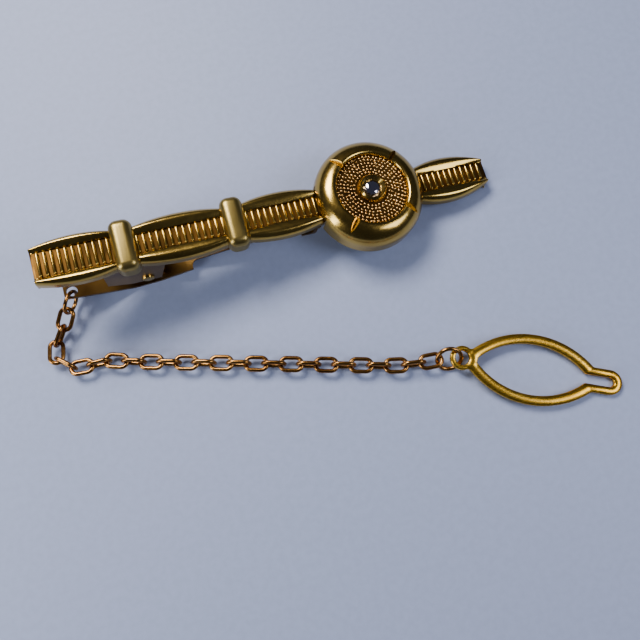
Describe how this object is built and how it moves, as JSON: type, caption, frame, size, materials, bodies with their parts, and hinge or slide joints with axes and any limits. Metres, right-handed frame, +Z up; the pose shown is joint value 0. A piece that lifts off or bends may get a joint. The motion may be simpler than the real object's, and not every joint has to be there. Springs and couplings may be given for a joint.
{
  "type": "tie clip with safety chain",
  "caption": "Gold-tone tie clip: scalloped bar with ribbed channel, collars, domed medallion with clear stone, sprung clip, safety chain and button loop.",
  "frame": {"origin": "middle of the whole footprint, on the table that it lies on", "axes": "+X along the bar from the sprung left end to the right end, +Y away from the chain and button loop, +Z up from the table"},
  "size_m": [0.0717, 0.0414, 0.012],
  "materials": {
    "polished_gold": "polished gold plate",
    "satin_gold": "satin gold plate",
    "granulated_gold": "bright beads in darker hollows",
    "brushed_gold": "brushed along the strip",
    "chain_gold": "polished, slightly reddish gold",
    "spring_steel": "bright wire",
    "clear_stone": "faceted, clear"
  },
  "bodies": {
    "front": {"front_bar": "polished_gold", "collar_left": "satin_gold", "collar_right": "satin_gold", "medallion_rim": "polished_gold", "beaded_disc": "granulated_gold", "stone_setting": "polished_gold", "rhinestone": "clear_stone", "back_plate": "polished_gold", "hinge_pin": "polished_gold", "clip_spring": "spring_steel"},
    "clip_lever": {"clip_lever": "polished_gold", "spring_leg": "spring_steel"},
    "start_ring": {"start_ring": "chain_gold"},
    "chain_link_01": {"chain_link_01": "chain_gold"},
    "chain_link_02": {"chain_link_02": "chain_gold"},
    "chain_link_03": {"chain_link_03": "chain_gold"},
    "chain_link_04": {"chain_link_04": "chain_gold"},
    "chain_link_05": {"chain_link_05": "chain_gold"},
    "chain_link_06": {"chain_link_06": "chain_gold"},
    "chain_link_07": {"chain_link_07": "chain_gold"},
    "chain_link_08": {"chain_link_08": "chain_gold"},
    "chain_link_09": {"chain_link_09": "chain_gold"},
    "chain_link_10": {"chain_link_10": "chain_gold"},
    "chain_link_11": {"chain_link_11": "chain_gold"},
    "chain_link_12": {"chain_link_12": "chain_gold"},
    "chain_link_13": {"chain_link_13": "chain_gold"},
    "chain_link_14": {"chain_link_14": "chain_gold"},
    "chain_link_15": {"chain_link_15": "chain_gold"},
    "chain_link_16": {"chain_link_16": "chain_gold"},
    "chain_link_17": {"chain_link_17": "chain_gold"},
    "chain_link_18": {"chain_link_18": "chain_gold"},
    "chain_link_19": {"chain_link_19": "chain_gold"},
    "chain_link_20": {"chain_link_20": "chain_gold"},
    "chain_link_21": {"chain_link_21": "chain_gold"},
    "chain_link_22": {"chain_link_22": "chain_gold"},
    "chain_link_23": {"chain_link_23": "chain_gold"},
    "chain_link_24": {"chain_link_24": "chain_gold"},
    "chain_link_25": {"chain_link_25": "chain_gold"},
    "end_ring": {"end_ring": "chain_gold"},
    "button_loop": {"button_loop": "brushed_gold"}
  },
  "joints": [
    {"name": "lever_hinge", "type": "hinge", "parent": "front", "child": "clip_lever", "pos_m": [-0.02028, 0.01335, 0.00296], "axis": [0, 1, 0], "range_deg": [0, 10], "stiffness_Nm_per_rad": 0.05, "springref_deg": -20.05},
    {"name": "start_ring_swing", "type": "hinge", "parent": "clip_lever", "child": "start_ring", "pos_m": [-0.03031, 0.0119, 0.00296], "axis": [0.848, -0.5299, 0], "range_deg": [-30, 1]},
    {"name": "chain_link_01_pitch", "type": "hinge", "parent": "start_ring", "child": "chain_link_01", "pos_m": [-0.03151, 0.00998, 0.00234], "axis": [-0.8565, 0.498, 0.1356], "range_deg": [-30, 30]},
    {"name": "chain_link_02_yaw", "type": "hinge", "parent": "chain_link_01", "child": "chain_link_02", "pos_m": [-0.03269, 0.00808, 0.00182], "axis": [-0.0285, -0.2625, 0.9645], "range_deg": [-30, 8]},
    {"name": "chain_link_03_pitch", "type": "hinge", "parent": "chain_link_02", "child": "chain_link_03", "pos_m": [-0.03431, 0.00645, 0.00116], "axis": [0.9686, -0.2059, -0.1392], "range_deg": [-30, 30]},
    {"name": "chain_link_04_yaw", "type": "hinge", "parent": "chain_link_03", "child": "chain_link_04", "pos_m": [-0.03479, 0.00421, 0.00116], "axis": [-0.0931, -0.1034, -0.9903], "range_deg": [-8, 30]},
    {"name": "chain_link_05_pitch", "type": "hinge", "parent": "chain_link_04", "child": "chain_link_05", "pos_m": [-0.03323, 0.00232, 0.00116], "axis": [-0.0863, -0.9865, 0.1392], "range_deg": [-30, 30]},
    {"name": "chain_link_06_yaw", "type": "hinge", "parent": "chain_link_05", "child": "chain_link_06", "pos_m": [-0.03095, 0.00212, 0.00116], "axis": [0.0049, 0.1391, 0.9903], "range_deg": [-30, 8]},
    {"name": "chain_link_07_pitch", "type": "hinge", "parent": "chain_link_06", "child": "chain_link_07", "pos_m": [-0.02862, 0.00222, 0.00116], "axis": [0.3387, 0.9305, -0.1392], "range_deg": [-30, 30]},
    {"name": "chain_link_08_yaw", "type": "hinge", "parent": "chain_link_07", "child": "chain_link_08", "pos_m": [-0.02646, 0.00144, 0.00116], "axis": [-0.043, -0.1324, -0.9903], "range_deg": [-8, 30]},
    {"name": "chain_link_09_pitch", "type": "hinge", "parent": "chain_link_08", "child": "chain_link_09", "pos_m": [-0.02428, 0.00072, 0.00116], "axis": [-0.2912, -0.9465, 0.1392], "range_deg": [-30, 30]},
    {"name": "chain_link_10_yaw", "type": "hinge", "parent": "chain_link_09", "child": "chain_link_10", "pos_m": [-0.02209, 0.00005, 0.00116], "axis": [0.0409, 0.133, 0.9903], "range_deg": [-30, 12]},
    {"name": "chain_link_11_pitch", "type": "hinge", "parent": "chain_link_10", "child": "chain_link_11", "pos_m": [-0.01989, -0.00063, 0.00116], "axis": [0.2912, 0.9465, -0.1392], "range_deg": [-30, 30]},
    {"name": "chain_link_12_yaw", "type": "hinge", "parent": "chain_link_11", "child": "chain_link_12", "pos_m": [-0.0177, -0.0013, 0.00116], "axis": [-0.0409, -0.133, -0.9903], "range_deg": [-12, 30]},
    {"name": "chain_link_13_pitch", "type": "hinge", "parent": "chain_link_12", "child": "chain_link_13", "pos_m": [-0.01551, -0.00198, 0.00116], "axis": [-0.2912, -0.9465, 0.1392], "range_deg": [-30, 30]},
    {"name": "chain_link_14_yaw", "type": "hinge", "parent": "chain_link_13", "child": "chain_link_14", "pos_m": [-0.01331, -0.00265, 0.00116], "axis": [0.0409, 0.133, 0.9903], "range_deg": [-30, 12]},
    {"name": "chain_link_15_pitch", "type": "hinge", "parent": "chain_link_14", "child": "chain_link_15", "pos_m": [-0.01112, -0.00333, 0.00116], "axis": [0.2912, 0.9465, -0.1392], "range_deg": [-30, 30]},
    {"name": "chain_link_16_yaw", "type": "hinge", "parent": "chain_link_15", "child": "chain_link_16", "pos_m": [-0.00893, -0.004, 0.00116], "axis": [-0.0409, -0.133, -0.9903], "range_deg": [-25, 30]},
    {"name": "chain_link_17_pitch", "type": "hinge", "parent": "chain_link_16", "child": "chain_link_17", "pos_m": [-0.00673, -0.00468, 0.00116], "axis": [-0.2912, -0.9465, 0.1392], "range_deg": [-30, 30]},
    {"name": "chain_link_18_yaw", "type": "hinge", "parent": "chain_link_17", "child": "chain_link_18", "pos_m": [-0.00454, -0.00535, 0.00116], "axis": [0.0409, 0.133, 0.9903], "range_deg": [-30, 25]},
    {"name": "chain_link_19_pitch", "type": "hinge", "parent": "chain_link_18", "child": "chain_link_19", "pos_m": [-0.00235, -0.00603, 0.00116], "axis": [0.2912, 0.9465, -0.1392], "range_deg": [-30, 30]},
    {"name": "chain_link_20_yaw", "type": "hinge", "parent": "chain_link_19", "child": "chain_link_20", "pos_m": [-0.00015, -0.0067, 0.00116], "axis": [-0.0409, -0.133, -0.9903], "range_deg": [-25, 30]},
    {"name": "chain_link_21_pitch", "type": "hinge", "parent": "chain_link_20", "child": "chain_link_21", "pos_m": [0.00204, -0.00738, 0.00116], "axis": [-0.2912, -0.9465, 0.1392], "range_deg": [-30, 30]},
    {"name": "chain_link_22_yaw", "type": "hinge", "parent": "chain_link_21", "child": "chain_link_22", "pos_m": [0.00423, -0.00805, 0.00116], "axis": [0.0409, 0.133, 0.9903], "range_deg": [-30, 25]},
    {"name": "chain_link_23_pitch", "type": "hinge", "parent": "chain_link_22", "child": "chain_link_23", "pos_m": [0.00642, -0.00876, 0.00114], "axis": [0.244, 0.9597, -0.1391], "range_deg": [-30, 30]},
    {"name": "chain_link_24_yaw", "type": "hinge", "parent": "chain_link_23", "child": "chain_link_24", "pos_m": [0.00864, -0.00931, 0.00122], "axis": [0.0103, -0.1425, -0.9897], "range_deg": [-25, 30]},
    {"name": "chain_link_25_pitch", "type": "hinge", "parent": "chain_link_24", "child": "chain_link_25", "pos_m": [0.01091, -0.00972, 0.00129], "axis": [-0.0909, -0.9861, 0.1391], "range_deg": [-30, 30]},
    {"name": "end_ring_swing", "type": "hinge", "parent": "chain_link_25", "child": "end_ring", "pos_m": [0.0138, -0.00997, 0.00139], "axis": [-0.0909, -0.9861, 0.1391], "range_deg": [-10, 10]},
    {"name": "button_loop_swing", "type": "hinge", "parent": "end_ring", "child": "button_loop", "pos_m": [0.01632, -0.01058, 0.00137], "axis": [-0.1545, -0.7269, -0.6691], "range_deg": [-5, 12]}
  ]
}
